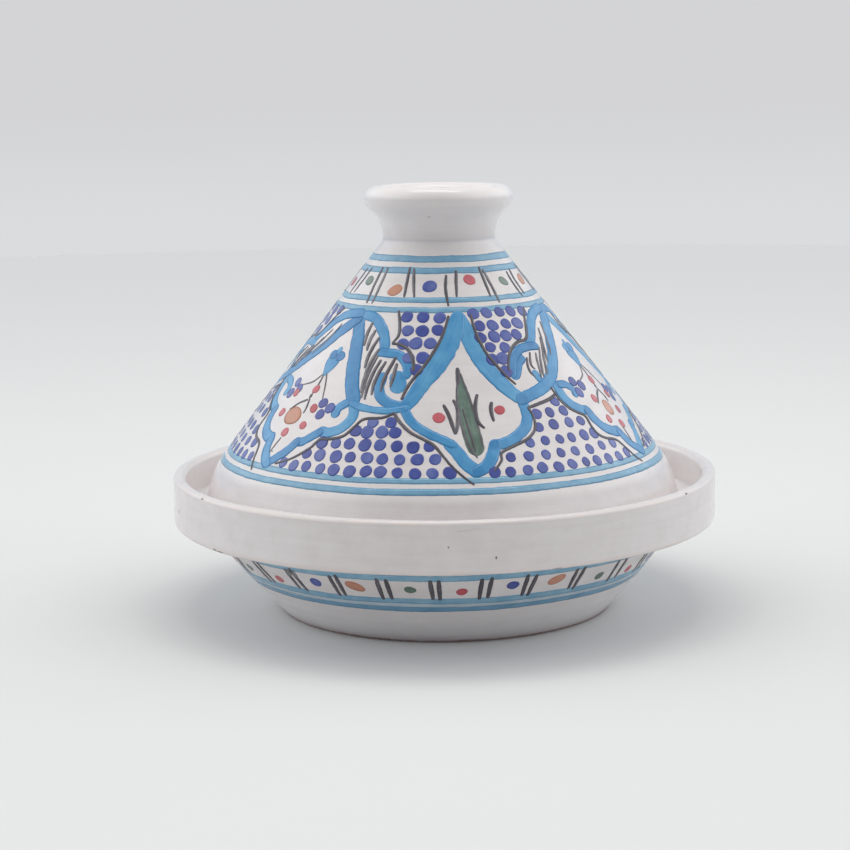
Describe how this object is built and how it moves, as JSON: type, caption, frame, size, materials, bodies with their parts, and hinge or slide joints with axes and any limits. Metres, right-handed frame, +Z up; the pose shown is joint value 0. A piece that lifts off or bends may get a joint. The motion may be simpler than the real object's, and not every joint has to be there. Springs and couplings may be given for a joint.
{
  "type": "tagine pot",
  "caption": "Conical-lidded earthenware cooking and serving pot with a collared round dish, a cup-shaped knob and hand-painted bands, dots and leaf medallions.",
  "frame": {"origin": "centre of the foot, on the surface that the pot stands on", "axes": "+Z up along the throwing axis of the dish and the lid; -Y towards the viewer of the front"},
  "size_m": [0.272, 0.272, 0.21],
  "materials": {
    "white_glaze": "glossy, warm white tin glaze over earthenware, slightly uneven, with pinholes",
    "turquoise_paint": "glossy brushed turquoise under the glaze, darker where strokes meet",
    "cobalt_paint": "glossy cobalt blue dots",
    "line_paint": "glossy thin brown-black brush lines",
    "red_paint": "glossy coral red dots",
    "orange_paint": "glossy ochre orange dots",
    "green_paint": "glossy dark green leaves and dots",
    "bare_clay": "matt unglazed pinkish earthenware on the foot ring"
  },
  "bodies": {
    "dish": {"dish": "white_glaze"},
    "lid": {"lid": "white_glaze"}
  },
  "joints": [
    {"name": "lid_lift", "type": "slide", "parent": "dish", "child": "lid", "axis": [0, 0, 1], "range_m": [0, 0.12]}
  ]
}
